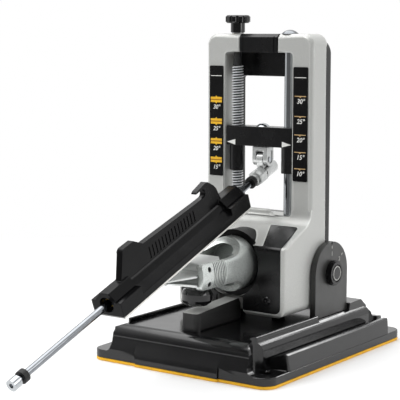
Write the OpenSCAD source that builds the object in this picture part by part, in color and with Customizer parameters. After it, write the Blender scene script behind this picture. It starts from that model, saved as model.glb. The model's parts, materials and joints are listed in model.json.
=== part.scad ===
// Guided-rod knife sharpener with a tilting tower, an angle scale and a rotating blade clamp.
// +X is the user's right, the user stands at -Y, +Z is up.
// The origin is the centre of the base's underside.

/* [Base] */
// Width of the base
base_w = 157; // [150:1:170]
// Depth of the base, front to back
base_d = 194; // [188:1:210]
// Radius of the base's corners
base_corner_r = 10; // [4:1:14]
// Thickness of the non-slip pad
pad_t = 2; // [1:0.5:4]
// Height of the four fixing ears
ear_z = 8; // [6:0.5:10]
// Height of the side ridges
ridge_z = 20; // [16:0.5:22]
// Width of each side ridge
ridge_w = 17.5; // [14:0.5:18]
// Height of the deck that carries the tower
deck_z = 28; // [26:0.5:30]
// Width of the deck
deck_w = 120; // [116:0.5:122]
// Height of the rims along the deck
rim_h = 3; // [1.5:0.5:4]
// Radius of the deck's rounded front edge
nose_r = 9; // [5:0.5:11]
// Length of the fixing slots
slot_len = 12; // [9:0.5:14]
// Width of the fixing slots
slot_w = 6; // [4:0.5:8]
// Distance of the fixing slots from the base's sides
slot_side = 13.5; // [12:0.5:15]
// Distance of the fixing slots from the base's front and back
slot_end = 14; // [12:0.5:17]

/* [Tilt hinge] */
// Distance of the tilt axis behind the base's centre
axis_y = 29; // [26:0.5:32]
// Height of the tilt axis
axis_z = 60; // [58:0.5:64]
// Thickness of the hinge cheeks
cheek_t = 5; // [4.8:0.1:6]
// Radius of the cheeks' round top
cheek_r = 23.7; // [20:0.1:25]
// Depth of the cheeks' pockets in the deck
cheek_seat = 4; // [2:0.5:6]
// Diameter of the pivot studs
stud_d = 8; // [6:0.5:10]
// Diameter of the tilt lock knob
tilt_knob_d = 19; // [14:0.5:24]
// Length of the tilt lock knob
tilt_knob_l = 4.5; // [4:0.5:8]

/* [Tower] */
// Width of the tower
tower_w = 95.6; // [94:0.2:97]
// Height of the tower's top
tower_top = 239.3; // [230:0.1:260]
// Height of the tower's lower edge
tower_bottom = 33.5; // [32:0.5:35]
// Front plane of the tower's legs
front_y = 7; // [6:0.5:8]
// Rear plane of the cast frame
back_y = 27.5; // [26.5:0.5:29]
// Width of the window between the legs
window_w = 60.8; // [60:0.1:63]
// Lower edge of the window
window_z0 = 103; // [101:0.5:106]
// Upper edge of the window
window_z1 = 225.5; // [222:0.5:228]
// Radius of the tower's top corners
tower_corner_r = 9; // [6:0.5:10]
// Bevel along the frame's front edge
bevel = 2.5; // [1:0.1:3]
// Front plane of the lower housing
housing_y = -30; // [-32:0.5:-29]
// Height where the housing's sloped roof starts
shoulder_z = 84.6; // [82:0.1:87]
// Wall of the lower housing
wall = 4; // [3:0.5:6]
// Thickness of the black rear cover
cover_t = 8; // [6:0.5:9]
// Thickness of the black front panel
panel_t = 2; // [1.5:0.1:3]
// Width of the black top bridge
bridge_w = 34; // [28:0.5:36]
// Width of a scale label
label_w = 12.4; // [8:0.1:13]
// Lower edge of the scale labels
label_z0 = 130.3; // [125:0.1:140]
// Upper edge of the scale labels
label_z1 = 215; // [205:0.1:225]

/* [Angle drive] */
// Distance of the lead screw and the guide rod from the middle
rail_x = 23.5; // [23:0.1:24]
// Depth of the lead screw and the guide rod
rail_y = 14.5; // [14:0.1:16]
// Diameter of the lead screw
screw_d = 9; // [7:0.1:9.4]
// Diameter of the lead screw's plain ends
journal_d = 6; // [4:0.1:6.5]
// Diameter of the guide rod
guide_d = 8; // [6:0.1:9]
// Height of the carriage's underside
carriage_z = 154.5; // [150:0.1:175]
// Height of the carriage
carriage_h = 15; // [12:0.5:18]
// Diameter of the carriage's collars
collar_d = 12; // [11.6:0.1:12.4]
// Length of the carriage's collars
collar_l = 19.5; // [12:0.5:22]
// Diameter of the top knob
top_knob_d = 19; // [15:0.5:26]
// Height of the top knob's head
top_knob_h = 6; // [4:0.5:10]

/* [Universal joint] */
// Width of the yoke
yoke_w = 13; // [12:0.5:16]
// Depth of the yoke
yoke_l = 10; // [8:0.5:12]
// Thickness of the knuckle's eye
eye_t = 5.8; // [5:0.1:6.5]
// Diameter of the cross pin
pin_d = 4; // [3:0.1:5]
// Distance of the cross pin below the carriage
pin_drop = 10; // [9:0.1:11]
// Distance of the rod's axis below the cross pin
arm_drop = 9.7; // [9.4:0.1:11]
// Diameter of the knuckle's barrel
barrel_d = 11; // [9:0.1:11.4]

/* [Rod] */
// Slope of the rod at rest
slope = 20.9; // [20:0.1:23]
// Diameter of the rod
arm_d = 5; // [4:0.1:6]
// Distance from the cross pin to the rod's free end
arm_l = 301; // [292:1:330]
// Diameter of the bumpers
bumper_d = 9; // [8.5:0.1:11]
// Thickness of the bumpers
bumper_t = 4; // [3:0.5:6]

/* [Handle] */
// Distance from the cross pin to the handle's upper end
handle_at = 44; // [36:0.1:55]
// Length of the handle
handle_l = 160; // [150:1:170]
// Width of the abrasive plate
plate_w = 25.4; // [22:0.1:27]
// Thickness of the abrasive plate
plate_t = 1.3; // [1:0.1:1.8]
// Distance from the rod's axis to the handle's flat underside
handle_drop = 8; // [7.5:0.1:8.4]
// Radius of the tube at the handle's ends
tube_r = 8.8; // [8:0.1:9.5]
// Height of the grip's horns over the rod's axis
horn_z = 28; // [24:0.5:32]
// Height of the grip's middle over the rod's axis
grip_z = 20; // [16:0.5:22]
// Thickness of the grip
grip_t = 5; // [4:0.1:7]

/* [Clamp] */
// Height of the clamp's axis
clamp_z = 70; // [69:0.1:70.5]
// Radius of the clamp's hub
hub_r = 20.5; // [19:0.1:21]
// Outer radius of the black ring round the hub
ring_r = 25; // [24:0.1:26]
// Front end of the clamp's arms
arms_y = -92; // [-96:0.5:-88]
// Gap between the clamp's arms
arms_gap = 28; // [26:0.5:30]
// Half height of the clamp's arms
arms_h = 9; // [8:0.1:10]
// Front end of the jaws
jaw_y = -119; // [-122:0.5:-114]
// Width of the jaws at their front end
jaw_w = 20; // [16:0.5:24]
// Distance of each jaw pin from the clamp's axis
jaw_pin_z = 5.2; // [4.8:0.1:5.4]
// Diameter of the jaw pins
jaw_pin_d = 3.8; // [3:0.1:4]
// Diameter of the clamp knob
clamp_knob_d = 22.8; // [18:0.1:24]
// Diameter of the clamp screw
clamp_screw_d = 6; // [5:0.1:7]

/* [Clearances] */
// Radial clearance of turning and sliding fits
run = 0.05; // [0.02:0.01:0.1]
// Gap between parts that pass each other
gap = 0.5; // [0.3:0.1:0.8]

/* [Hidden] */
$fn = 64;

// Colours
black = "#1b1b1c";
silver = "#b9bab6";
zinc = "#c6c7c4";
chrome = "#d5d7d9";
brass = "#b08d4a";
yellow = "#e8b030";
rubber = "#101010";

// Half sizes and edges of the base
half_w = base_w / 2;
half_d = base_d / 2;
slot_dx = base_w - 2 * slot_side;
slot_dy = base_d - 2 * slot_end;
slot_pocket = 4.5;
deck_edge = deck_w / 2;
deck_top_edge = deck_edge - 3;
deck_shoulder_r = 8;
deck_foot_r = 5;
badge_w = 73;
badge_out = 1.5;
rear_z = deck_z + 5;
rear_wall_y = axis_y + cheek_r + 0.5;
rear_wall_end = rear_wall_y + 18;
ridge_y0 = -half_d + 26;
ridge_y1 = half_d - 22;
ridge_out = half_w - 0.02;
ridge_x = ridge_out - ridge_w / 2;

// Fasteners
screw_r = 2;
screw_head_r = 3.6;
screw_head_h = 3;

// Hinge
cheek_x0 = tower_w / 2 + gap;
cheek_x1 = cheek_x0 + cheek_t;
stud_r = stud_d / 2;
tilt_bush_r = stud_r + 2.5;
lug_r = tilt_bush_r + 7;
lug_t = 7;
stud_in = tower_w / 2 - lug_t - 0.8;
cheek_foot_z = deck_z - cheek_seat;

// Tower
half_tower = tower_w / 2;
half_window = window_w / 2;
roof_z = window_z0 - 3;
bulkhead_depth = 22;
bulkhead_t = 5;
bulkhead_y0 = housing_y + bulkhead_depth;
bulkhead_y1 = bulkhead_y0 + bulkhead_t;
cover_y = back_y + cover_t;
cover_inset = 1;
web_z = window_z1 - 18.5;
sill_z = window_z0 - 8;
label_t = 0.6;
leg_w = half_tower - half_window;
bridge_l = 13;

// Roof of the housing: a slope between a round front edge and a hollow that runs up into the legs
edge_r = 4;
hollow_r = 12;
roof_angle = atan2(roof_z - shoulder_z, front_y - housing_y);
roof_up = [-sin(roof_angle), cos(roof_angle)];
corner_share = (1 - sin(roof_angle)) / cos(roof_angle);
edge_c = [housing_y + edge_r, shoulder_z - edge_r * corner_share];
hollow_c = [front_y - hollow_r, roof_z + hollow_r * corner_share];
tab_y = front_y - 7;
hump_h = 4.5;
hump_t = 4.7;

// Clamp rest, and the notch in the housing that it reaches into
rest_w = 15;
rest_y0 = -81;
rest_reach = 5;
rest_y1 = housing_y + rest_reach;
rest_h0 = 13;
rest_h1 = 16;
rest_z0 = deck_z + rest_h0;
rest_z1 = deck_z + rest_h1;
notch_w = rest_w + 9;
notch_d = rest_reach + 8;
notch_z = clamp_z - ring_r + 1;

// Angle drive
screw_r_out = screw_d / 2;
journal_r = journal_d / 2;
guide_r = guide_d / 2;
nut_r = collar_d / 2 - 0.7;
carriage_top = carriage_z + carriage_h;
carriage_half_w = half_window - 0.8;
carriage_y0 = front_y + 0.5;
carriage_y1 = rail_y + 7.3;
thread_top = window_z1 - 8;
washer_h = 1;
knob_hub_h = 7;
knob_z = tower_top + washer_h;

// Universal joint
pin_z = carriage_z - pin_drop;
pin_y = rail_y;
yoke_bottom_r = yoke_l / 2;
yoke_plate_t = 3;
yoke_gap = 0.3;
eye_r = pin_drop - yoke_plate_t - yoke_gap - 1.3;
swivel_r = 3;
barrel_front = 14.7;
barrel_back = 10;
stub_l = 3.5;

// Rod, measured along it from the foot of the cross pin
arm_r = arm_d / 2;
cap_r = arm_r + 1.5;
cap_l = 6;
upper_stop = -barrel_front - stub_l - 0.3 - bumper_t;
lower_stop = -arm_l + cap_l + 3 + bumper_t;

// Handle
handle_top = -handle_at;
handle_end = handle_top - handle_l;
end_block = 23.7;
bush_r = arm_r + 2;
bush_l = 16;
bush_inset = 5;
plate_l = handle_l - 1.6;
body_half_w = plate_w / 2 - 0.1;
shoulder_v = 2.7;
mid_tube_r = tube_r - 2.2;
magnet_r = 4;
magnet_h = 3;

// Clamp
hub_reach = 8;
hub_front = housing_y - hub_reach;
hub_back = bulkhead_y0 - 0.6;
ring_inset = 6;
ring_front = housing_y + ring_inset;
cup_depth = 9;
cup_r = hub_r - 4.5;
arms_half_w = hub_r - 0.2;
spindle_r = 6;
spindle_bush_r = spindle_r + 3;
jaw_pin_inset = 8.5;
jaw_tail = 27;
screw_behind_pin = 12.5;
jaw_pin_y = arms_y + jaw_pin_inset;
jaw_pin_r = jaw_pin_d / 2;
jaw_half_w = arms_gap / 2 - 0.3;
jaw_back_y = jaw_pin_y + jaw_tail;
clamp_screw_y = jaw_pin_y + screw_behind_pin;
clamp_screw_r = clamp_screw_d / 2;
clamp_knob_z1 = clamp_z - 12;
clamp_knob_z0 = clamp_z - 24;
jaw_lug_r = jaw_pin_r + 1.6;

// Shapes that repeat

// Points of an arc about c, from one angle to another
function arc(c, r, from, to, steps = 8) =
    [for (i = [0:steps]) c + r * [cos(from + (to - from) * i / steps), sin(from + (to - from) * i / steps)]];

// The points of a path in reverse order
function reversed(path) = [for (i = [len(path) - 1:-1:0]) path[i]];

// Rectangle centred on the origin with round corners
module round_rect(w, h, r) {
    square([w - 2 * r, h], center = true);
    square([w, h - 2 * r], center = true);
    for (sx = [-1, 1], sy = [-1, 1])
        translate([sx * (w / 2 - r), sy * (h / 2 - r)])
            circle(r);
}

// A profile drawn in Y and Z, extruded across X from x0 to x1
module across(x0, x1) {
    translate([x0, 0, 0])
        rotate([90, 0, 90])
            linear_extrude(x1 - x0)
                children();
}

// A profile drawn in X and Z, extruded from front y0 to back y1
module front_to_back(y0, y1) {
    translate([0, y1, 0])
        rotate([90, 0, 0])
            linear_extrude(y1 - y0)
                children();
}

// Cylinder along X
module bar_x(r, x0, x1) {
    translate([x0, 0, 0])
        rotate([0, 90, 0])
            cylinder(r = r, h = x1 - x0);
}

// Cylinder along Y
module bar_y(r, y0, y1) {
    translate([0, y1, 0])
        rotate([90, 0, 0])
            cylinder(r = r, h = y1 - y0);
}

// Cylinder along Z
module bar_z(r, z0, z1) {
    translate([0, 0, z0])
        cylinder(r = r, h = z1 - z0);
}

// Puts children on both sides of the middle plane
module both_sides() {
    children();
    mirror([1, 0, 0])
        children();
}

// Moves children to the rod's frame: origin at the pin's foot, +Y up along the rod
module on_rod() {
    translate([0, pin_y, pin_z])
        rotate([slope, 0, 0])
            translate([0, 0, -arm_drop])
                children();
}

// Moves children to the tilt axis
module on_tilt_axis() {
    translate([0, axis_y, axis_z])
        children();
}

// Moves children to the clamp's axis
module on_clamp_axis() {
    translate([0, 0, clamp_z])
        children();
}

// Dome of a screw head: a slice of a sphere of base radius r and height h, standing on the origin
module dome(r, h) {
    sphere_r = (r * r + h * h) / (2 * h);
    rotate_extrude()
        intersection() {
            translate([0, h - sphere_r])
                circle(sphere_r);
            square([r, h]);
        }
}

// Base

// Outline of the deck from the side: round nose in front, low lip at the back
module deck_side() {
    nose_y = -half_d + 3 + nose_r;
    polygon([
        [-half_d, pad_t], [-half_d, ear_z + 2], [-half_d + 3, deck_z - nose_r], [nose_y, deck_z],
        [rear_wall_end, deck_z], [half_d - 10, ridge_z + 1], [half_d - 9, ridge_z - 3],
        [half_d, ridge_z - 4], [half_d, pad_t]
    ]);
    translate([nose_y, deck_z - nose_r])
        circle(nose_r);
}

// Half outline of the deck from the front: a round shoulder over a hollow foot
module deck_front() {
    foot_x = deck_edge + deck_foot_r;
    polygon(concat(
        [[-1, pad_t], [-1, deck_z]],
        arc([deck_edge - deck_shoulder_r, deck_z - deck_shoulder_r], deck_shoulder_r, 90, 0),
        arc([foot_x, ear_z + deck_foot_r], deck_foot_r, 180, 270),
        [[foot_x, pad_t]]
    ));
}

// Low wall on the deck behind the hinge cheeks
module rear_wall() {
    wall_half = deck_top_edge - 1;
    across(-wall_half, wall_half)
        polygon([
            [rear_wall_y - 2, deck_z - 1], [rear_wall_y, rear_z], [rear_wall_end, rear_z],
            [half_d - 10, ridge_z + 1], [half_d - 10, ridge_z - 1]
        ]);
}

// Flat field in the middle of the base's front, a little proud of it
module front_badge() {
    across(-badge_w / 2, badge_w / 2)
        polygon([
            [-half_d - badge_out, pad_t], [-half_d - badge_out, ear_z], [-half_d + 2.4, ear_z + 9],
            [-half_d + 4, pad_t]
        ]);
}

// Side ridge, flush with the base's side: its outer face leans in a little, its top falls towards the deck
module ridge() {
    mid_y = (ridge_y0 + ridge_y1) / 2;
    lean = 1.4;
    crest = 3;
    fall = 5;
    intersection() {
        translate([ridge_x, mid_y, ear_z - 1])
            linear_extrude(ridge_z - ear_z + 1)
                round_rect(ridge_w, ridge_y1 - ridge_y0, 2.5);
        front_to_back(ridge_y0, ridge_y1)
            polygon([
                [ridge_out - ridge_w, ear_z - 1], [ridge_out, ear_z - 1], [ridge_out, ear_z + 0.5],
                [ridge_out - lean, ridge_z - 1], [ridge_out - lean - 1, ridge_z],
                [ridge_out - lean - crest, ridge_z], [ridge_out - ridge_w, ridge_z - fall]
            ]);
    }
}

// Rim beside the clamp, from the deck's front to the cheek, with a round top
module rim() {
    bead_r = 1.7;
    rim_x0 = deck_top_edge - 0.5 - 2 * bead_r;
    bead_z = deck_z + rim_h - bead_r;
    front_to_back(-half_d + 15, axis_y - cheek_r - 0.5)
        union() {
            translate([rim_x0 + bead_r, bead_z])
                circle(bead_r);
            translate([rim_x0, deck_z - 2])
                square([2 * bead_r, bead_z - deck_z + 2]);
        }
}

// Fixing slots, long side to side, grown all round by grow
module slots(z0, z1, grow) {
    for (sx = [-1, 1], sy = [-1, 1])
        translate([sx * slot_dx / 2, sy * slot_dy / 2, z0])
            linear_extrude(z1 - z0)
                round_rect(slot_len + 2 * grow, slot_w + 2 * grow, slot_w / 2 + grow - 0.001);
}

// Places of the screws that come up through the base
module base_screw_places() {
    for (sx = [-1, 1], dy = [-14, 14])
        translate([sx * (cheek_x0 + cheek_t / 2), axis_y + dy, 0])
            children();
    for (y = [rest_y0 + 12, rest_y1 - 12])
        translate([0, y, 0])
            children();
}

module base() {
    color(black)
        difference() {
            union() {
                translate([0, 0, pad_t])
                    linear_extrude(ear_z - pad_t)
                        round_rect(base_w, base_d, base_corner_r);
                intersection() {
                    across(-half_w, half_w)
                        deck_side();
                    front_to_back(-half_d, half_d)
                        union() {
                            deck_front();
                            mirror([1, 0])
                                deck_front();
                        }
                }
                rear_wall();
                front_badge();
                both_sides() {
                    ridge();
                    rim();
                }
            }
            slots(0, ear_z + 1, 0);
            slots(ear_z, deck_z + rim_h, slot_pocket);
            both_sides()
                across(cheek_x0, cheek_x1)
                    translate([axis_y - cheek_r, cheek_foot_z])
                        square([2 * cheek_r, rear_z]);
            base_screw_places() {
                bar_z(screw_r + 0.2, 0, deck_z + 1);
                bar_z(screw_head_r + 0.2, 0, pad_t + screw_head_h);
            }
        }
}

module base_pad() {
    color(yellow)
        difference() {
            union() {
                linear_extrude(pad_t)
                    round_rect(base_w, base_d, base_corner_r);
                translate([-badge_w / 2, -half_d - badge_out, 0])
                    cube([badge_w, badge_out + 4, pad_t]);
            }
            slots(-1, pad_t + 1, 0);
        }
}

module base_screws() {
    color(zinc)
        base_screw_places() {
            bar_z(screw_head_r, pad_t, pad_t + screw_head_h);
            bar_z(screw_r, pad_t, deck_z + 5);
        }
}

// Clamp rest: a bar on the deck under the clamp knob, its top rising to the back
module clamp_rest() {
    rest_mid = (rest_y0 + rest_y1) / 2;
    color(black)
        difference() {
            intersection() {
                across(-rest_w / 2, rest_w / 2)
                    polygon([[rest_y0, deck_z], [rest_y1, deck_z], [rest_y1, rest_z1], [rest_y0, rest_z0]]);
                front_to_back(rest_y0, rest_y1)
                    polygon([
                        [-rest_w / 2, deck_z], [rest_w / 2, deck_z], [rest_w / 2, rest_z0 - 1],
                        [rest_w / 2 - 2, rest_z1], [2 - rest_w / 2, rest_z1], [-rest_w / 2, rest_z0 - 1]
                    ]);
                translate([0, rest_mid, deck_z])
                    linear_extrude(rest_z1 - deck_z)
                        union() {
                            round_rect(rest_w, rest_y1 - rest_y0, 4);
                            translate([-rest_w / 2, 0])
                                square([rest_w, (rest_y1 - rest_y0) / 2]);
                        }
            }
            base_screw_places()
                bar_z(screw_r, deck_z - 1, deck_z + 5);
        }
}

// Rubber stops that carry the housing when the tower stands upright
stop_r = 5;
stop_x = 18;
stop_y = front_y + 3;

module tilt_stops() {
    color(rubber)
        both_sides()
            translate([stop_x, stop_y, 0])
                bar_z(stop_r, deck_z, tower_bottom - 0.1);
}

// Hinge cheek on the right: round top, straight sides, a notch at the top
module cheek() {
    difference() {
        across(cheek_x0, cheek_x1)
            union() {
                translate([axis_y, axis_z])
                    circle(cheek_r);
                translate([axis_y - cheek_r, cheek_foot_z])
                    square([2 * cheek_r, axis_z - cheek_foot_z]);
            }
        on_tilt_axis() {
            bar_x(stud_r, cheek_x0 - 1, cheek_x1 + 1);
            translate([cheek_x0 + 1.5, -0.6, cheek_r - 2])
                cube([cheek_t, 1.2, 4]);
        }
        base_screw_places()
            bar_z(screw_r, cheek_foot_z - 1, deck_z + 5);
    }
}

module hinge_cheek_right() {
    color(black)
        cheek();
}

module hinge_cheek_left() {
    color(black)
        mirror([1, 0, 0])
            cheek();
}

// Pivot stud on the right: it carries the tower and the lock knob
module pivot_stud_right() {
    color(zinc)
        on_tilt_axis()
            bar_x(stud_r, stud_in, cheek_x1 + tilt_knob_l - 2);
}

// Pivot stud on the left, with a dome head outside the cheek
module pivot_stud_left() {
    color(zinc)
        on_tilt_axis()
            mirror([1, 0, 0]) {
                bar_x(stud_r, stud_in, cheek_x1);
                translate([cheek_x1, 0, 0])
                    rotate([0, 90, 0])
                        dome(stud_r + 3.5, 3.5);
            }
}

// Tilt lock knob: fluted rim, a raised ring and a slot on its face
module tilt_knob() {
    flutes = 22;
    knob_r = tilt_knob_d / 2;
    face_x = cheek_x1 + tilt_knob_l;
    ring_out = knob_r - 2.6;
    color(black)
        on_tilt_axis()
            difference() {
                union() {
                    bar_x(knob_r, cheek_x1 + 0.3, face_x - 1);
                    bar_x(knob_r - 0.9, cheek_x1 + 0.3, face_x);
                }
                bar_x(stud_r + run, cheek_x1, face_x - 1.9);
                translate([face_x - 1, 0, 0])
                    difference() {
                        bar_x(ring_out, 0, 2);
                        bar_x(ring_out - 1, -1, 3);
                        translate([0, -ring_out, -0.8])
                            cube([2, 2 * ring_out, 1.6]);
                    }
                for (i = [0:flutes - 1])
                    rotate([i * 360 / flutes, 0, 0])
                        translate([0, 0, knob_r + 0.3])
                            bar_x(0.75, cheek_x1, face_x + 1);
            }
}

// Tower

// Outline of the tower from the front
module tower_outline() {
    foot_r = 7;
    translate([-half_tower + foot_r, tower_bottom])
        square([tower_w - 2 * foot_r, foot_r]);
    translate([-half_tower, tower_bottom + foot_r])
        square([tower_w, tower_top - tower_corner_r - tower_bottom - foot_r]);
    translate([-half_tower + tower_corner_r, tower_top - tower_corner_r])
        square([tower_w - 2 * tower_corner_r, tower_corner_r]);
    for (sx = [-1, 1]) {
        translate([sx * (half_tower - foot_r), tower_bottom + foot_r])
            circle(foot_r);
        translate([sx * (half_tower - tower_corner_r), tower_top - tower_corner_r])
            circle(tower_corner_r);
    }
}

// Outline of the frame from the side: upright legs that run in a hollow into the housing's sloped roof
module tower_side() {
    polygon(concat(
        [[housing_y, tower_bottom + 2], [housing_y + 2, tower_bottom], [back_y, tower_bottom],
            [back_y, tower_top], [front_y, tower_top]],
        arc(hollow_c, hollow_r, 360, 270 + roof_angle),
        arc(edge_c, edge_r, 90 + roof_angle, 180)
    ));
}

// Plan outline of the frame with its front edges rounded
module tower_plan() {
    side_r = 3.5;
    translate([-half_tower, housing_y + side_r])
        square([tower_w, back_y - housing_y - side_r]);
    translate([-half_tower + side_r, housing_y])
        square([tower_w - 2 * side_r, side_r]);
    for (sx = [-1, 1])
        translate([sx * (half_tower - side_r), housing_y + side_r])
            circle(side_r);
}

// Window with round corners, cut from y0 to y1
module window(y0, y1, z0, z1) {
    front_to_back(y0, y1)
        translate([0, (z0 + z1) / 2])
            round_rect(window_w, z1 - z0, 2.5);
}

// Wedge that bevels the front edge of the legs: along the sides, the corners and the top
module front_bevel() {
    side_z0 = hollow_c[1] + 1;
    corner_z = tower_top - tower_corner_r;
    wedge = [[-bevel, 0], [0.01, 0], [0.01, bevel]];
    both_sides() {
        translate([half_tower, front_y, side_z0])
            linear_extrude(corner_z - side_z0)
                polygon(wedge);
        translate([half_tower - tower_corner_r, front_y, corner_z])
            rotate([90, 0, 0])
                mirror([0, 0, 1])
                    rotate_extrude(angle = 90)
                        translate([tower_corner_r, 0])
                            polygon(wedge);
    }
    across(-half_tower + tower_corner_r, half_tower - tower_corner_r)
        polygon([
            [front_y, tower_top - bevel], [front_y, tower_top + 0.01], [front_y + bevel, tower_top + 0.01]
        ]);
}

// Hinge lug behind the housing, round about the tilt axis
module tilt_lug() {
    across(half_tower - lug_t, half_tower)
        union() {
            translate([axis_y, axis_z])
                circle(lug_r);
            translate([axis_y - lug_r, axis_z - lug_r])
                square([lug_r, 2 * lug_r]);
        }
}

// Hump on the window's sill, flush with the legs' front
module sill_hump() {
    hump_top = window_z0 + hump_h;
    front_to_back(front_y - 0.6, front_y - 0.6 + hump_t)
        polygon([
            [-15.5, sill_z], [-14.7, window_z0 - 1], [-9.7, hump_top], [9.7, hump_top],
            [14.7, window_z0 - 1], [15.5, sill_z]
        ]);
}

panel_half_w = half_tower - 3.2;
panel_lip = 3;
panel_z0 = tower_bottom + panel_lip;

// Path of the front panel's outside from its foot over the round edge up the roof, pushed out by o
function panel_path(o) = concat(
    [[housing_y - o, tower_bottom]],
    arc(edge_c, edge_r + o, 180, 90 + roof_angle),
    [[tab_y + 3, shoulder_z + (tab_y + 3 - housing_y) * tan(roof_angle)] + o * roof_up]
);

// Plan outline of the right front panel: a strip along the front and a tab that leans in towards the back
module panel_plan(grow) {
    polygon([
        [notch_w / 4, housing_y - 3], [panel_half_w + grow, housing_y - 3],
        [panel_half_w + grow, housing_y], [panel_half_w - 3 + grow, tab_y - 2],
        [panel_half_w - 5 + grow, tab_y + grow], [17 - grow, tab_y + grow],
        [ring_r + 3 - grow, housing_y + panel_t], [notch_w / 4, housing_y + panel_t]
    ]);
}

// Form of the right front panel, a bent plate, grown at its edges and pushed out to cut its seat
module panel_form(grow, out) {
    corner = 5;
    intersection() {
        across(0, half_tower)
            polygon(concat(panel_path(out), reversed(panel_path(-panel_t))));
        linear_extrude(roof_z + hollow_r)
            panel_plan(grow);
        front_to_back(housing_y - 4, front_y)
            polygon(concat(
                [[0, roof_z + hollow_r], [0, panel_z0 - grow]],
                arc([panel_half_w - corner, panel_z0 + corner], corner + grow, 270, 360),
                [[panel_half_w + grow, roof_z + hollow_r]]
            ));
    }
}

// Notch at the housing's foot that the clamp rest reaches into
module rest_notch() {
    translate([-notch_w / 2, housing_y - 3, tower_bottom - 1])
        cube([notch_w, notch_d + 3, notch_z - tower_bottom + 1]);
}

// Rear cavity of the housing and of the tower's foot
module housing_cavity() {
    difference() {
        translate([-half_tower + lug_t, bulkhead_y1, tower_bottom + wall])
            cube([tower_w - 2 * lug_t, back_y - bulkhead_y1 + 1, sill_z - tower_bottom - wall]);
        across(-half_tower, half_tower)
            polygon([
                [bulkhead_y1 - 1, roof_z - 12], [bulkhead_y1 - 1, tower_top], [front_y + 5, tower_top],
                [front_y + 5, sill_z - 5]
            ]);
    }
}

// Places of the screws of the rear cover
module cover_screw_places() {
    for (sx = [-1, 1], z = [sill_z - 6, tower_top - 16])
        translate([sx * (half_window + leg_w / 2), 0, z])
            children();
}

// Places of the screws of the front panel
module panel_screw_places() {
    both_sides()
        translate([panel_half_w - 12, 0, panel_z0 + 9])
            children();
}

module tower_frame() {
    color(silver)
        difference() {
            union() {
                difference() {
                    intersection() {
                        across(-half_tower, half_tower)
                            tower_side();
                        front_to_back(housing_y, back_y)
                            tower_outline();
                        translate([0, 0, tower_bottom])
                            linear_extrude(tower_top - tower_bottom)
                                tower_plan();
                    }
                    window(front_y - 20, back_y + 1, window_z0, window_z1);
                }
                sill_hump();
                both_sides()
                    tilt_lug();
            }
            front_bevel();
            housing_cavity();
            both_sides()
                panel_form(0.1, 2);
            rest_notch();
            translate([-bridge_w / 2, front_y - 1, window_z1 - 1])
                cube([bridge_w, bridge_l + 1, tower_top - window_z1 + 2]);
            on_clamp_axis() {
                bar_y(ring_r, housing_y - 1, bulkhead_y0);
                bar_y(spindle_bush_r, bulkhead_y0 - 1, bulkhead_y1 + 1);
            }
            on_tilt_axis()
                bar_x(tilt_bush_r, -half_tower - 1, half_tower + 1);
            translate([-rail_x, rail_y, 0]) {
                bar_z(journal_r + 2, window_z1 - 1, tower_top + 1);
                bar_z(journal_r + 2, sill_z - 6, window_z0 + 1);
            }
            translate([rail_x, rail_y, 0])
                bar_z(guide_r, sill_z, tower_top + 1);
            cover_screw_places()
                bar_y(screw_r, back_y - 8, back_y + 1);
            panel_screw_places()
                bar_y(screw_r, housing_y, housing_y + 12);
        }
}

// Rear cover: a frame round the window with a web at the top and a panel over the housing
module rear_cover() {
    cover_half = half_tower - cover_inset;
    cover_r = tower_corner_r + 3;
    cover_z0 = axis_z + lug_r + 1.5;
    cover_z1 = tower_top - 3;
    inner_half = half_tower - lug_t - 1.2;
    color(black)
        difference() {
            union() {
                front_to_back(back_y, cover_y)
                    union() {
                        translate([-cover_half, cover_z0])
                            square([2 * cover_half, cover_z1 - cover_r - cover_z0]);
                        translate([-cover_half + cover_r, cover_z1 - cover_r])
                            square([2 * (cover_half - cover_r), cover_r]);
                        for (sx = [-1, 1])
                            translate([sx * (cover_half - cover_r), cover_z1 - cover_r])
                                circle(cover_r);
                    }
                translate([-inner_half, back_y, tower_bottom])
                    cube([2 * inner_half, cover_t, cover_z0 - tower_bottom + 1]);
            }
            window(back_y - 1, cover_y + 1, window_z0, web_z);
            cover_screw_places() {
                bar_y(screw_r + 0.2, back_y - 1, cover_y + 1);
                bar_y(screw_head_r + 0.2, cover_y - 2, cover_y + 1);
            }
        }
}

module cover_screws() {
    color(zinc)
        cover_screw_places() {
            bar_y(screw_r, back_y - 8, cover_y - 1);
            bar_y(screw_head_r, cover_y - 2, cover_y - 0.4);
        }
}

// Front panel beside the clamp's ring, with a tab that lies on the roof
module front_panel() {
    color(black)
        difference() {
            panel_form(0, 0);
            on_clamp_axis()
                bar_y(ring_r + 0.4, housing_y - 1, front_y);
            rest_notch();
            panel_screw_places()
                bar_y(screw_r + 0.2, housing_y - 1, housing_y + panel_t + 1);
        }
}

module front_panel_left() {
    mirror([1, 0, 0])
        front_panel();
}

module front_panel_right() {
    front_panel();
}

module panel_screws() {
    color(black)
        panel_screw_places() {
            bar_y(screw_r, housing_y, housing_y + 12);
            translate([0, housing_y, 0])
                rotate([90, 0, 0])
                    dome(screw_head_r, 1.6);
        }
}

// Black bridge in the top bar, with two grooves down its front
module top_bridge() {
    groove_x = bridge_w / 2 - 3;
    color(black)
        difference() {
            translate([-bridge_w / 2, front_y, window_z1])
                cube([bridge_w, bridge_l, tower_top - window_z1]);
            across(-bridge_w, bridge_w)
                polygon([
                    [front_y, tower_top - bevel], [front_y, tower_top + 0.01],
                    [front_y + bevel, tower_top + 0.01]
                ]);
            both_sides()
                translate([groove_x, front_y, 0])
                    bar_z(0.6, window_z1 - 1, tower_top + 1);
        }
}

// Scale label on a leg
module label() {
    label_off = 1.3;
    label_mid_x = half_window + leg_w / 2 - label_off;
    translate([0, 0, (label_z0 + label_z1) / 2])
        front_to_back(front_y - label_t, front_y)
            translate([label_mid_x, 0])
                round_rect(label_w, label_z1 - label_z0, 1);
}

module label_right() {
    color(black)
        label();
}

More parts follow.
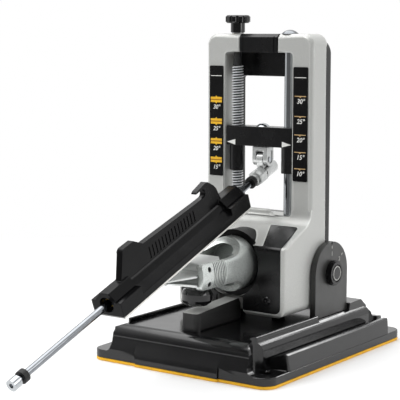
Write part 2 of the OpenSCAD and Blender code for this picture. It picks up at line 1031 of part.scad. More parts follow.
module label_left() {
    color(black)
        mirror([1, 0, 0])
            label();
}

// Ring in the housing that the clamp's hub turns in
module hub_ring() {
    color(black)
        on_clamp_axis()
            difference() {
                bar_y(ring_r, ring_front, bulkhead_y0);
                bar_y(hub_r + run, ring_front - 1, bulkhead_y0 + 1);
            }
}

module spindle_bush() {
    color(brass)
        on_clamp_axis()
            difference() {
                bar_y(spindle_bush_r, bulkhead_y0, bulkhead_y1);
                bar_y(spindle_r + run, bulkhead_y0 - 1, bulkhead_y1 + 1);
            }
}

module tilt_bushes() {
    color(brass)
        both_sides()
            on_tilt_axis()
                difference() {
                    bar_x(tilt_bush_r, half_tower - lug_t, half_tower);
                    bar_x(stud_r + run, half_tower - lug_t - 1, half_tower + 1);
                }
}

module guide_rod() {
    color(chrome)
        translate([rail_x, rail_y, 0])
            bar_z(guide_r, sill_z, tower_top - 4);
}

module guide_rod_screw() {
    color(chrome)
        translate([rail_x, rail_y, 0]) {
            bar_z(guide_r, tower_top - 4, tower_top);
            translate([0, 0, tower_top])
                dome(6.4, 3);
        }
}

// Angle drive

module screw_bush(z0, z1) {
    translate([-rail_x, rail_y, 0])
        difference() {
            bar_z(journal_r + 2, z0, z1);
            bar_z(journal_r + run, z0 - 1, z1 + 1);
        }
}

module screw_bush_upper() {
    color(brass)
        screw_bush(window_z1, tower_top - 0.1);
}

module screw_bush_lower() {
    color(brass)
        screw_bush(sill_z - 5, window_z0);
}

module lead_screw() {
    color(chrome)
        translate([-rail_x, rail_y, 0]) {
            bar_z(journal_r, sill_z - 4, knob_z + knob_hub_h);
            bar_z(screw_r_out, window_z0 + gap, thread_top);
        }
}

module thrust_washer() {
    color(zinc)
        translate([-rail_x, rail_y, 0])
            difference() {
                bar_z(journal_r + 1.6, tower_top + 0.1, knob_z);
                bar_z(journal_r, tower_top, knob_z + 1);
            }
}

// Knob of the lead screw: a stem under a scalloped head
module top_knob() {
    scallops = 12;
    head_r = top_knob_d / 2;
    head_z0 = knob_z + knob_hub_h;
    edge = 1.2;
    color(black)
        translate([-rail_x, rail_y, 0])
            difference() {
                union() {
                    bar_z(5.5, knob_z, head_z0 + 1);
                    translate([0, 0, head_z0])
                        rotate_extrude()
                            polygon([
                                [0, 0], [head_r - edge, 0], [head_r, edge], [head_r, top_knob_h - edge],
                                [head_r - edge, top_knob_h], [0, top_knob_h]
                            ]);
                }
                bar_z(journal_r, knob_z - 1, head_z0);
                for (i = [0:scallops - 1])
                    rotate([0, 0, i * 360 / scallops])
                        translate([head_r + 0.9, 0, 0])
                            bar_z(1.7, head_z0 - 1, head_z0 + top_knob_h + 1);
            }
}

// Carriage: a bar across the window with a round collar on each rail
module carriage() {
    crease = 0.7;
    color(black)
        difference() {
            union() {
                translate([0, 0, carriage_z])
                    linear_extrude(carriage_h)
                        polygon([
                            [-carriage_half_w, carriage_y0 + crease], [0, carriage_y0],
                            [carriage_half_w, carriage_y0 + crease], [carriage_half_w, carriage_y1],
                            [-carriage_half_w, carriage_y1]
                        ]);
                both_sides()
                    translate([rail_x, rail_y, 0])
                        bar_z(collar_d / 2, carriage_z - collar_l, carriage_z + 1);
            }
            translate([-rail_x, rail_y, 0]) {
                bar_z(screw_r_out + 0.3, carriage_z - collar_l - 1, carriage_top + 1);
                bar_z(nut_r, carriage_z, carriage_top - 3);
            }
            translate([rail_x, rail_y, 0]) {
                bar_z(guide_r + 0.3, carriage_z - collar_l - 1, carriage_top + 1);
                bar_z(nut_r, carriage_z, carriage_top - 3);
            }
            translate([0, rail_y, 0])
                bar_z(swivel_r, carriage_z - 1, carriage_top + 1);
        }
}

module lead_nut() {
    color(brass)
        translate([-rail_x, rail_y, 0])
            difference() {
                bar_z(nut_r, carriage_z, carriage_top - 3);
                bar_z(screw_r_out + run, carriage_z - 1, carriage_top);
            }
}

module guide_bush() {
    color(brass)
        translate([rail_x, rail_y, 0])
            difference() {
                bar_z(nut_r, carriage_z, carriage_top - 3);
                bar_z(guide_r + run, carriage_z - 1, carriage_top);
            }
}

module swivel_screw() {
    color(chrome)
        translate([0, rail_y, 0]) {
            bar_z(swivel_r, carriage_z - yoke_gap - yoke_plate_t + 0.1, carriage_top);
            translate([0, 0, carriage_top])
                dome(5.25, 2.6);
        }
}

// Universal joint

// Yoke: a plate that swivels under the carriage, with two legs round the cross pin
module yoke() {
    plate_top = carriage_z - yoke_gap;
    plate_bottom = plate_top - yoke_plate_t;
    slot_half = eye_t / 2 + 0.25;
    recess_r = pin_d / 2 + 1.2;
    recess_t = 0.5;
    color(zinc)
        difference() {
            across(-yoke_w / 2, yoke_w / 2)
                union() {
                    translate([pin_y, pin_z])
                        circle(yoke_bottom_r);
                    translate([pin_y - yoke_l / 2, pin_z])
                        square([yoke_l, plate_top - pin_z]);
                }
            translate([-slot_half, pin_y - yoke_l, pin_z - yoke_l])
                cube([2 * slot_half, 2 * yoke_l, plate_bottom - pin_z + yoke_l]);
            translate([0, pin_y, pin_z])
                bar_x(pin_d / 2, -yoke_w, yoke_w);
            translate([0, pin_y, 0])
                bar_z(swivel_r + run, plate_bottom - 1, plate_top + 1);
            both_sides()
                across(yoke_w / 2 - recess_t, yoke_w / 2 + 1)
                    union() {
                        translate([pin_y, pin_z])
                            circle(recess_r);
                        translate([pin_y - recess_r, pin_z])
                            square([2 * recess_r, plate_bottom - pin_z]);
                    }
        }
}

module cross_pin() {
    color(chrome)
        translate([0, pin_y, pin_z])
            bar_x(pin_d / 2, -yoke_w / 2, yoke_w / 2);
}

// Knuckle: an eye on the cross pin, a neck and a barrel that holds the rod, with a hex and a stub at its
// lower end, and a hollow on each side of the eye that clears the yoke's legs
module knuckle() {
    barrel_r = barrel_d / 2;
    hex_l = 9;
    hex_r = barrel_r + 0.9;
    stub_r = arm_r + 1.7;
    neck_r = eye_r * 0.97;
    groove_y = -barrel_front + hex_l;
    color(zinc)
        on_rod()
            difference() {
                union() {
                    bar_y(barrel_r, -barrel_front + 1, barrel_back);
                    translate([0, groove_y, 0])
                        rotate([90, 30, 0])
                            cylinder(r = hex_r, h = hex_l, $fn = 6);
                    bar_y(stub_r, -barrel_front - stub_l, -barrel_front + 1);
                    across(-eye_t / 2, eye_t / 2)
                        union() {
                            translate([0, arm_drop])
                                circle(eye_r);
                            polygon([[-6, 2], [-neck_r, arm_drop], [neck_r, arm_drop], [6, 2]]);
                        }
                }
                translate([0, 0, arm_drop]) {
                    bar_x(pin_d / 2 + run, -eye_t, eye_t);
                    both_sides()
                        bar_x(yoke_bottom_r + gap, eye_t / 2 + 0.05, eye_t / 2 + barrel_d);
                }
                difference() {
                    bar_y(hex_r + 1, groove_y, groove_y + 0.9);
                    bar_y(barrel_r - 0.7, groove_y - 1, groove_y + 2);
                    translate([-eye_t / 2, groove_y - 1, 0])
                        cube([eye_t, 4, arm_drop]);
                }
                bar_y(arm_r, -barrel_front - stub_l - 1, 0);
            }
}

module guide_arm() {
    color(chrome)
        on_rod()
            bar_y(arm_r, -arm_l + cap_l / 2, 0);
}

module bumper(y0) {
    difference() {
        bar_y(bumper_d / 2, y0, y0 + bumper_t);
        bar_y(arm_r, y0 - 1, y0 + bumper_t + 1);
    }
}

module upper_bumper() {
    color(rubber)
        on_rod()
            bumper(upper_stop);
}

module lower_bumper() {
    color(rubber)
        on_rod()
            bumper(lower_stop - bumper_t);
}

// Cap on the rod's free end, with a hex socket in its face
module arm_end_cap() {
    color(chrome)
        on_rod()
            difference() {
                bar_y(cap_r, -arm_l, -arm_l + cap_l);
                bar_y(arm_r, -arm_l + cap_l / 2, -arm_l + cap_l + 1);
                translate([0, -arm_l + 2.5, 0])
                    rotate([90, 0, 0])
                        cylinder(r = 1.8, h = 4, $fn = 6);
            }
}

// Handle

// Section of the handle's ends: an eight-sided collar on a flat foot
module end_section() {
    intersection() {
        union() {
            rotate(22.5)
                circle(tube_r / cos(22.5), $fn = 8);
            translate([-body_half_w, -handle_drop])
                square([2 * body_half_w, handle_drop + shoulder_v]);
        }
        translate([-body_half_w, -handle_drop])
            square([2 * body_half_w, 3 * handle_drop]);
    }
}

// Section of the handle's middle, with flanks sloping down from the tube
module mid_section() {
    circle(mid_tube_r);
    polygon([
        [-body_half_w, -handle_drop], [body_half_w, -handle_drop], [body_half_w, -handle_drop + 5],
        [mid_tube_r, 1.5], [-mid_tube_r, 1.5], [-body_half_w, -handle_drop + 5]
    ]);
}

// Outline of the grip over the tube, drawn along the rod from the handle's lower end: a round horn in front,
// a level back and a hook at the upper end
module grip_outline() {
    l = handle_l;
    horn_r = 4;
    hook_r = 3;
    polygon(concat(
        [[15.5, 2], [15.5, mid_tube_r]],
        arc([24 + horn_r, horn_z - horn_r], horn_r, 160, 90),
        [[37.8, horn_z], [46.7, grip_z + 1.4], [l - 44.5, grip_z - 1.2]],
        arc([l - 39.3, horn_z - 6.2], hook_r, -90, 90),
        [[l - 46.3, horn_z - 3.4], [l - 45.9, horn_z - 2.6], [l - 44.2, horn_z - 1.8]],
        arc([l - 33.2, horn_z - 5], 4.6, 100, 40),
        [[l - 24.6, horn_z - 6.8], [l - 22.6, horn_z - 10], [l - 19.3, mid_tube_r], [l - 19.3, 2]]
    ));
}

// Grooves between the grip's ribs, on its right side
module grip_grooves() {
    ribs = 15;
    groove_t = 0.5;
    groove_y0 = 50;
    groove_y1 = handle_l - 52;
    pitch = (groove_y1 - groove_y0) / ribs;
    for (i = [0:ribs - 1])
        translate([grip_t / 2 - groove_t, groove_y0 + i * pitch, mid_tube_r + 1])
            cube([groove_t + 1, pitch / 2, grip_z - mid_tube_r - 5]);
}

module handle() {
    color(black)
        on_rod()
            translate([0, handle_end, 0])
                difference() {
                    union() {
                        front_to_back(0, end_block)
                            end_section();
                        front_to_back(end_block, handle_l - end_block)
                            mid_section();
                        front_to_back(handle_l - end_block, handle_l)
                            end_section();
                        across(-grip_t / 2, grip_t / 2)
                            grip_outline();
                    }
                    both_sides()
                        grip_grooves();
                    bar_y(arm_r + 0.6, -1, handle_l + 1);
                    for (y0 = [bush_inset, handle_l - bush_inset - bush_l])
                        bar_y(bush_r, y0, y0 + bush_l);
                    bar_y(bush_r + 1, -1, bush_inset);
                    bar_y(bush_r + 1, handle_l - bush_inset, handle_l + 1);
                    magnet_places()
                        bar_z(magnet_r, -handle_drop - 1, -handle_drop + magnet_h);
                }
}

// Places of the magnets along the handle
module magnet_places() {
    for (t = [0.25, 0.5, 0.75])
        translate([0, handle_l * t, 0])
            children();
}

module handle_bushes() {
    color(brass)
        on_rod()
            translate([0, handle_end, 0])
                for (y0 = [bush_inset, handle_l - bush_inset - bush_l])
                    difference() {
                        bar_y(bush_r - run, y0 + 0.1, y0 + bush_l - 0.1);
                        bar_y(arm_r + run, y0 - 1, y0 + bush_l + 1);
                    }
}

module abrasive_plate() {
    plate_y0 = handle_end + (handle_l - plate_l) / 2;
    color(silver)
        on_rod()
            translate([-plate_w / 2, plate_y0, -handle_drop - plate_t])
                cube([plate_w, plate_l, plate_t]);
}

module plate_magnets() {
    color(zinc)
        on_rod()
            translate([0, handle_end, 0])
                magnet_places()
                    bar_z(magnet_r, -handle_drop, -handle_drop + magnet_h);
}

// Clamp, drawn about its own axis

// Outline of the clamp's head from the side: level arms with round front corners, and a hub whose front falls
// in a hollow curve to the arms, more steeply below
module head_side() {
    corner = 3;
    hub_lip = 5;
    top_y = arms_y + 35;
    low_y = arms_y + 44;
    rise = hub_r + 1 - arms_h;
    turns = [for (i = [0:8]) 90 * i / 8];
    top = [for (a = turns) [top_y + (hub_front + hub_lip - top_y) * sin(a), arms_h + rise * (1 - cos(a))]];
    low = [for (a = turns) [low_y + (hub_front + hub_lip - low_y) * sin(a), -arms_h - rise * (1 - cos(a))]];
    polygon(concat(
        arc([arms_y + corner, corner - arms_h], corner, 270, 180),
        arc([arms_y + corner, arms_h - corner], corner, 180, 90),
        top, [[hub_back, hub_r + 1], [hub_back, -hub_r - 1]], reversed(low)
    ));
}

module clamp_head() {
    grooves = 8;
    groove_y0 = arms_y + 14;
    groove_pitch = 2;
    groove_w = 0.9;
    groove_depth = 0.5;
    color(silver)
        on_clamp_axis()
            difference() {
                intersection() {
                    bar_y(hub_r, arms_y - 1, hub_back);
                    across(-hub_r - 1, hub_r + 1)
                        head_side();
                }
                bar_y(cup_r, arms_y - 2, hub_front + cup_depth);
                translate([-arms_gap / 2, arms_y - 2, -hub_r - 1])
                    cube([arms_gap, hub_front - arms_y - 5, 2 * hub_r + 2]);
                bar_y(spindle_r, hub_front, hub_back + 1);
                for (sz = [-1, 1])
                    translate([0, jaw_pin_y, sz * jaw_pin_z])
                        bar_x(jaw_pin_r, -hub_r - 1, hub_r + 1);
                for (i = [0:grooves - 1])
                    translate([0, groove_y0 + i * groove_pitch, 0])
                        difference() {
                            bar_y(hub_r + 1, 0, groove_w);
                            bar_y(hub_r - groove_depth, -1, groove_w + 1);
                        }
            }
}

module clamp_spindle() {
    color(zinc)
        on_clamp_axis()
            bar_y(spindle_r, hub_front + cup_depth, bulkhead_y1 + 9);
}

module spindle_washer() {
    color(zinc)
        on_clamp_axis()
            difference() {
                bar_y(spindle_bush_r + 1, bulkhead_y1 + 0.2, bulkhead_y1 + 1.8);
                bar_y(spindle_r, bulkhead_y1, bulkhead_y1 + 3);
            }
}

module spindle_nut() {
    color(zinc)
        on_clamp_axis()
            difference() {
                translate([0, bulkhead_y1 + 7.8, 0])
                    rotate([90, 0, 0])
                        cylinder(r = spindle_bush_r + 1.4, h = 6, $fn = 6);
                bar_y(spindle_r, bulkhead_y1, bulkhead_y1 + 9);
            }
}

module jaw_pins() {
    color(zinc)
        on_clamp_axis()
            for (sz = [-1, 1])
                translate([0, jaw_pin_y, sz * jaw_pin_z])
                    bar_x(jaw_pin_r, -arms_half_w + 2, arms_half_w - 2);
}

// Plan outline of a jaw: narrow tip, shoulders in front of the arms, a straight tail between them
module jaw_plan() {
    shoulder_y = arms_y - 1.2;
    polygon([
        [-jaw_w / 2, jaw_y], [jaw_w / 2, jaw_y], [jaw_half_w + 2.6, shoulder_y], [jaw_half_w, shoulder_y],
        [jaw_half_w, jaw_back_y - 6], [jaw_half_w - 5, jaw_back_y], [-jaw_half_w + 5, jaw_back_y],
        [-jaw_half_w, jaw_back_y - 6], [-jaw_half_w, shoulder_y], [-jaw_half_w - 2.6, shoulder_y]
    ]);
}

// Trims a jaw to its plan outline
module jaw_trim() {
    intersection() {
        children();
        translate([0, 0, -hub_r])
            linear_extrude(2 * hub_r)
                jaw_plan();
    }
}

// Upper jaw: a flat blade in front of its pin and a tail that rises behind it
module upper_jaw() {
    tip = 0.2;
    color(silver)
        on_clamp_axis()
            difference() {
                union() {
                    jaw_trim()
                        across(-hub_r, hub_r)
                            polygon([
                                [jaw_y, tip], [jaw_y, tip + 1], [jaw_pin_y - 5, 1.6],
                                [jaw_pin_y, jaw_pin_z + 1], [jaw_back_y, jaw_pin_z + 4.8],
                                [jaw_back_y, jaw_pin_z + 2.4],
                                [jaw_pin_y + 3, jaw_pin_z - 2], [jaw_pin_y - 5, tip]
                            ]);
                    translate([0, jaw_pin_y, jaw_pin_z])
                        bar_x(jaw_lug_r, -jaw_half_w, jaw_half_w);
                }
                translate([0, jaw_pin_y, jaw_pin_z])
                    bar_x(jaw_pin_r + run, -hub_r, hub_r);
            }
}

// Lower jaw: a blade that slopes down to its pin and a level tail round the clamp screw
module lower_jaw() {
    tip = 0.2;
    color(silver)
        on_clamp_axis()
            difference() {
                union() {
                    jaw_trim()
                        across(-hub_r, hub_r)
                            polygon([
                                [jaw_y, -tip], [jaw_y, -tip - 1], [jaw_pin_y - 5, -jaw_pin_z - 2.6],
                                [jaw_pin_y, -jaw_pin_z - jaw_lug_r + 0.3], [jaw_back_y - 4, -jaw_pin_z - 4.4],
                                [jaw_back_y - 4, -jaw_pin_z - 2], [jaw_pin_y + 3, -jaw_pin_z + 1],
                                [jaw_pin_y - 5, -jaw_pin_z - 0.6]
                            ]);
                    translate([0, jaw_pin_y, -jaw_pin_z])
                        bar_x(jaw_lug_r, -jaw_half_w, jaw_half_w);
                }
                translate([0, jaw_pin_y, -jaw_pin_z])
                    bar_x(jaw_pin_r + run, -hub_r, hub_r);
                translate([0, clamp_screw_y, 0])
                    bar_z(clamp_screw_r + 0.6, -hub_r, 0);
            }
}

module clamp_screw() {
    color(zinc)
        translate([0, clamp_screw_y, 0])
            bar_z(clamp_screw_r, clamp_knob_z0 + 4, clamp_z + jaw_pin_z - 3.6);
}

// Clamp knob: a round knob with a bevelled lower rim
module clamp_knob() {
    knob_r = clamp_knob_d / 2;
    knob_h = clamp_knob_z1 - clamp_knob_z0;
    color(black)
        translate([0, clamp_screw_y, clamp_knob_z0])
            difference() {
                rotate_extrude()
                    polygon([
                        [0, 0], [knob_r - 3.5, 0], [knob_r - 1, 2], [knob_r, 4], [knob_r, knob_h - 3.5],
                        [knob_r - 1.2, knob_h - 1], [knob_r - 3.5, knob_h], [0, knob_h]
                    ]);
                bar_z(clamp_screw_r, 4, knob_h + 1);
            }
}

base();
base_pad();
hinge_cheek_left();
hinge_cheek_right();
pivot_stud_left();
pivot_stud_right();
base_screws();
clamp_rest();
tilt_stops();
tilt_knob();
tower_frame();
rear_cover();
cover_screws();
front_panel_left();
front_panel_right();
panel_screws();
top_bridge();
label_left();
label_right();
hub_ring();
spindle_bush();
tilt_bushes();
guide_rod();
guide_rod_screw();
screw_bush_upper();
screw_bush_lower();
lead_screw();
thrust_washer();
top_knob();
carriage();
lead_nut();
guide_bush();
swivel_screw();
yoke();
cross_pin();
knuckle();
guide_arm();
upper_bumper();
lower_bumper();
arm_end_cap();
handle_bushes();
handle();
abrasive_plate();
plate_magnets();
clamp_head();
clamp_spindle();
spindle_washer();
spindle_nut();
jaw_pins();
upper_jaw();
lower_jaw();
clamp_screw();
clamp_knob();
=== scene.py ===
"""Looks of a guided-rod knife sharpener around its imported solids.

Materials, printed scales, the screw's thread, rounded edges, light and camera. Lengths are in mm where no
other unit is given, and become metres by MM.
"""

import json
import math

import bmesh
import bpy
from mathutils import Matrix, Vector

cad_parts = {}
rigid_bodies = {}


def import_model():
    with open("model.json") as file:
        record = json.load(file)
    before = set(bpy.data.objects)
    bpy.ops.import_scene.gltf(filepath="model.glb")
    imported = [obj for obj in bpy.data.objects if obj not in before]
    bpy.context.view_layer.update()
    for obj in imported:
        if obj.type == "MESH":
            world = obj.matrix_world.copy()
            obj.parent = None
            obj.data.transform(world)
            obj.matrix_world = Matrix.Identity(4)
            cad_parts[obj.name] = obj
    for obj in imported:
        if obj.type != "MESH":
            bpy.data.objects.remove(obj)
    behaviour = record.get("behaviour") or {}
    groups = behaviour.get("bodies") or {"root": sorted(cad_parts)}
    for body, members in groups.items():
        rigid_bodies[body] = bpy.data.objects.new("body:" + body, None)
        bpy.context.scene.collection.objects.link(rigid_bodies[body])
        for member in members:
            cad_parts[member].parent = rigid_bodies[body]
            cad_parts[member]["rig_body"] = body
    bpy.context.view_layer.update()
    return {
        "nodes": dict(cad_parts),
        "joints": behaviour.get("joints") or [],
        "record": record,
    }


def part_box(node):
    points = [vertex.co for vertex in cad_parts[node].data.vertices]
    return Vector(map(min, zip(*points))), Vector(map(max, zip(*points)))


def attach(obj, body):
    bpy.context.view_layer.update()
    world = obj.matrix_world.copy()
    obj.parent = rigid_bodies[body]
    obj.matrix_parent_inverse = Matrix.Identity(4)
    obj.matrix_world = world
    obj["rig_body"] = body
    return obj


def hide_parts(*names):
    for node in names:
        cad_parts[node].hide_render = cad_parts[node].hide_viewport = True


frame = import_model()
nodes = frame["nodes"]

MM = 0.001

# Finishes, axes and sizes from the frame

slot_of = {part["node"]: part["material_slot"] for part in frame["record"]["subparts"]}
joints = {joint["name"]: joint for joint in frame["joints"]}
tilt_axis = Vector(joints["tower_tilt"]["pos_m"])
tilt_range = joints["tower_tilt"]["range_deg"]
screw_axis = Vector(joints["lead_screw_turn"]["pos_m"])
screw_low, screw_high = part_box("lead_screw")

# Radii of the lead screw's thread, and the depths over which its painted shade deepens

ROOT_R = 3.2
CREST_EASE = 0.02
ROOT_DARK = 0.5
CREST_BRIGHT = 0.15
crest_r = (screw_high.x - screw_low.x) / 2 / MM - CREST_EASE

# Colours and node helpers


def linear(hex_color):
    """Linear colour of a six-digit sRGB hex string."""
    channels = []
    for i in (0, 2, 4):
        c = int(hex_color[i:i + 2], 16) / 255
        channels.append(c / 12.92 if c <= 0.04045 else ((c + 0.055) / 1.055) ** 2.4)
    return (*channels, 1.0)


def shade(color, factor):
    """The colour made lighter or darker, at most to white."""
    return (*(min(1.0, c * factor) for c in color[:3]), 1.0)


def add_node(tree, kind, **settings):
    node = tree.nodes.new("ShaderNode" + kind)
    for key, value in settings.items():
        setattr(node, key, value)
    return node


def add_ramp(tree, source, low, high, from_min, from_max, **settings):
    """Output that goes from low to high as the source goes from from_min to from_max."""
    node = add_node(tree, "MapRange", **settings)
    limits = {"From Min": from_min, "From Max": from_max, "To Min": low, "To Max": high}
    for key, value in limits.items():
        node.inputs[key].default_value = value
    tree.links.new(source, node.inputs["Value"])
    return node.outputs["Result"]


class Graph:
    """A node material under construction, with its textures in object coordinates."""

    def __init__(self, name):
        self.material = bpy.data.materials.new(name)
        self.material.use_nodes = True
        self.tree = self.material.node_tree
        self.shader = self.tree.nodes["Principled BSDF"]
        self.coords = self.add("TexCoord")

    def add(self, kind, **settings):
        return add_node(self.tree, kind, **settings)

    def link(self, source, target):
        self.tree.links.new(source, target)

    def fix(self, key, value):
        """Sets a value that is the same all over the surface."""
        self.shader.inputs[key].default_value = value

    def drive(self, key, source):
        self.link(source, self.shader.inputs[key])

    def noise(self, scale, detail=3.0):
        """Noise of that frequency in 1/m, given once or for each axis."""
        mapping = self.add("Mapping")
        mapping.inputs["Scale"].default_value = scale if isinstance(scale, tuple) else (scale,) * 3
        self.link(self.coords.outputs["Object"], mapping.inputs["Vector"])
        node = self.add("TexNoise")
        node.inputs["Scale"].default_value = 1.0
        node.inputs["Detail"].default_value = detail
        node.inputs["Roughness"].default_value = 0.55
        self.link(mapping.outputs["Vector"], node.inputs["Vector"])
        return node.outputs["Fac"]

    def ramp(self, source, low, high, from_min=0.35, from_max=0.65):
        return add_ramp(self.tree, source, low, high, from_min, from_max)

    def mix(self, factor, a, b):
        """Colour a where the factor is 0 and b where it is 1."""
        node = self.add("Mix", data_type="RGBA")
        self.link(factor, node.inputs[0])
        for socket, value in ((node.inputs[6], a), (node.inputs[7], b)):
            if isinstance(value, tuple):
                socket.default_value = value
            else:
                self.link(value, socket)
        return node.outputs[2]

    def mottle(self, source, body, low, high, **limits):
        """A colour that goes between two shades of itself with the source."""
        return self.mix(self.ramp(source, 0, 1, **limits), shade(body, low), shade(body, high))

    def vector_math(self, operation, first, second=None):
        """Node of a vector operation; the second operand is an output, a constant or left out."""
        node = self.add("VectorMath", operation=operation)
        self.link(first, node.inputs[0])
        if isinstance(second, tuple):
            node.inputs[1].default_value = second
        elif second:
            self.link(second, node.inputs[1])
        return node

    def edges(self, radius):
        """About 1 on edges and 0 on flats; radius is the edges' reach in m."""
        bevel = self.add("Bevel", samples=4)
        bevel.inputs["Radius"].default_value = radius
        geometry = self.add("NewGeometry")
        alike = self.vector_math("DOT_PRODUCT", bevel.outputs["Normal"], geometry.outputs["Normal"])
        return self.ramp(alike.outputs["Value"], 1.0, 0.0, 0.78, 0.99)

    def painted_hollow_shade(self, distance):
        """Mask for painted shade: 0 deep in hollows and corners, 1 on open faces; distance is their reach
        in m.
        """
        node = self.add("AmbientOcclusion", samples=8)
        node.inputs["Distance"].default_value = distance
        return self.ramp(node.outputs["AO"], 0, 1, 0.25, 0.85)

    def upward(self):
        """1 where the surface faces up, 0 where it stands."""
        split = self.add("SeparateXYZ")
        self.link(self.add("NewGeometry").outputs["Normal"], split.inputs[0])
        return self.ramp(split.outputs["Z"], 0, 1, 0.45, 0.9)

    def bump(self, height, strength, distance):
        """Relief from a height texture; distance is its depth in m."""
        node = self.add("Bump")
        node.inputs["Strength"].default_value = strength
        node.inputs["Distance"].default_value = distance
        self.link(height, node.inputs["Height"])
        self.drive("Normal", node.outputs["Normal"])


# Materials, with their noise frequencies in 1/m

SATIN_GRAIN = 3200
STREAKS_ACROSS_X = (2600, 160, 160)


def cast_silver():
    """Silver paint on a casting: fine flake, a soft orange peel and a painted highlight on its edges."""
    g = Graph("cast_silver")
    body = linear("c3c4c1")
    flake = g.mottle(g.noise(1250, 2), body, 0.90, 1.07, from_min=0.3, from_max=0.7)
    broad = g.mix(g.ramp(g.noise(28), 0, 1), flake, shade(body, 0.98))
    # Painted highlight: the colour is lightened on edges and roundings.
    g.drive("Base Color", g.mix(g.edges(0.0026), broad, shade(body, 1.45)))
    g.drive("Roughness", g.ramp(g.noise(1500), 0.34, 0.46))
    g.bump(g.noise(1700, 4), 0.12, 0.0001)
    g.fix("Metallic", 0.3)
    return g.material


def satin_metal(name, hex_color, metallic, rough, shade_reach):
    """Cast or plated metal with a fine even grain and painted shade that darkens its hollows; the last
    argument is that shade's reach in m.
    """
    g = Graph(name)
    body = linear(hex_color)
    tone = g.mottle(g.noise(SATIN_GRAIN, 2), body, 0.97, 1.03)
    # Painted shade: the colour darkens deep in hollows and corners.
    g.drive("Base Color", g.mix(g.painted_hollow_shade(shade_reach), shade(body, 0.2), tone))
    g.drive("Roughness", g.ramp(g.noise(SATIN_GRAIN * 0.7), *rough))
    g.fix("Metallic", metallic)
    return g.material


def black_finish(name, hex_color, rough, specular=0.5, grain=None, painted_sheen=None):
    """Black plastic or paint with faint smudges; grain is the frequency, in 1/m, of a moulded grain,
    and the last argument the colour of a painted sheen to which its upward faces are lightened."""
    g = Graph(name)
    color = g.mottle(g.noise(55), linear(hex_color), 0.9, 1.12)
    if painted_sheen:
        # Painted sheen: upward faces are lightened towards a pale colour, standing for light from above.
        color = g.mix(g.upward(), color, linear(painted_sheen))
    g.drive("Base Color", color)
    g.drive("Roughness", g.ramp(g.noise(90), *rough))
    if grain:
        g.bump(g.noise(grain, 2), 0.05, 0.00005)
    g.fix("Specular IOR Level", specular)
    return g.material


def bright_metal(name, hex_color, rough, stretch, depth):
    """Metal with fine marks; stretch is the marks' frequency along X, Y and Z, in 1/m."""
    g = Graph(name)
    marks = g.noise(stretch, 2)
    g.drive("Base Color", g.mottle(marks, linear(hex_color), 0.9, 1.06))
    g.drive("Roughness", g.ramp(marks, *rough))
    g.bump(marks, depth, 0.00006)
    g.fix("Metallic", 1.0)
    return g.material


def thread_steel():
    """Steel with painted shade that deepens from the crests to the roots of the lead screw's thread."""
    g = Graph("thread_steel")
    body = linear("eceef0")
    axis = (screw_axis.x, screw_axis.y, 0)
    offset = g.vector_math("SUBTRACT", g.coords.outputs["Object"], axis)
    flat = g.vector_math("MULTIPLY", offset.outputs["Vector"], (1, 1, 0))
    radius = g.vector_math("LENGTH", flat.outputs["Vector"])
    height = g.ramp(radius.outputs["Value"], 0, 1, (ROOT_R + ROOT_DARK) * MM, (crest_r - CREST_BRIGHT) * MM)
    # Painted shade: the colour goes nearly black towards the thread's roots.
    g.drive("Base Color", g.mix(height, shade(body, 0.04), body))
    g.drive("Roughness", g.ramp(g.noise(2500), 0.28, 0.38))
    g.fix("Metallic", 0.15)
    return g.material


def print_ink(name, hex_color):
    """Printed or filled paint with a fine unevenness."""
    g = Graph(name)
    g.drive("Base Color", g.mottle(g.noise(900), linear(hex_color), 0.94, 1.04))
    g.drive("Roughness", g.ramp(g.noise(1200), 0.40, 0.50))
    return g.material


def yellow_pad():
    """Soft yellow rubber."""
    g = Graph("yellow_pad")
    g.drive("Base Color", g.mottle(g.noise(120), linear("efb51f"), 0.90, 1.05))
    g.drive("Roughness", g.ramp(g.noise(700), 0.5, 0.68))
    g.bump(g.noise(1800, 3), 0.2, 0.0001)
    return g.material


def diamond_plate():
    """Grit on the faces of the plate and bare bright steel on its long edges."""
    g = Graph("diamond_plate")
    grit = g.noise(5200, 1)
    face = g.mottle(grit, linear("8f8f8d"), 0.7, 1.25)
    split = g.add("SeparateXYZ")
    g.link(g.coords.outputs["Normal"], split.inputs[0])
    across = g.add("Math", operation="ABSOLUTE")
    g.link(split.outputs["X"], across.inputs[0])
    long_edge = g.ramp(across.outputs[0], 0, 1, 0.5, 0.6)
    g.drive("Base Color", g.mix(long_edge, face, linear("ecebe6")))
    g.drive("Roughness", g.ramp(grit, 0.35, 0.55))
    g.bump(grit, 0.3, 0.0001)
    g.fix("Metallic", 0.6)
    return g.material


MATERIALS = {
    "cast_silver": cast_silver(),
    "base_black": black_finish("base_black", "111112", (0.12, 0.18)),
    "hinge_black": black_finish("hinge_black", "222221", (0.30, 0.40), 0.7, 1900),
    "cover_black": black_finish("cover_black", "101011", (0.22, 0.28), 0.4),
    "label_black": black_finish("label_black", "0c0c0d", (0.20, 0.28), 0.3),
    "knob_black": black_finish("knob_black", "0e0e0f", (0.06, 0.10)),
    "handle_black": black_finish("handle_black", "0b0b0c", (0.18, 0.24), 0.13),
    "black_rubber": black_finish("black_rubber", "0f0f0f", (0.45, 0.6), 0.4, 1300),
    "bright_steel": bright_metal("bright_steel", "b2b5b8", (0.07, 0.13), STREAKS_ACROSS_X, 0.03),
    "zinc_steel": satin_metal("zinc_steel", "dadcdb", 0.6, (0.20, 0.24), 0.004),
    "bush_brass": bright_metal("bush_brass", "b39a5c", (0.25, 0.35), (900, 300, 900), 0.05),
    "pad_yellow": yellow_pad(),
    "plate_steel": diamond_plate(),
}
jaw_silver = satin_metal("jaw_silver", "e4e7e5", 0.15, (0.38, 0.44), 0.003)
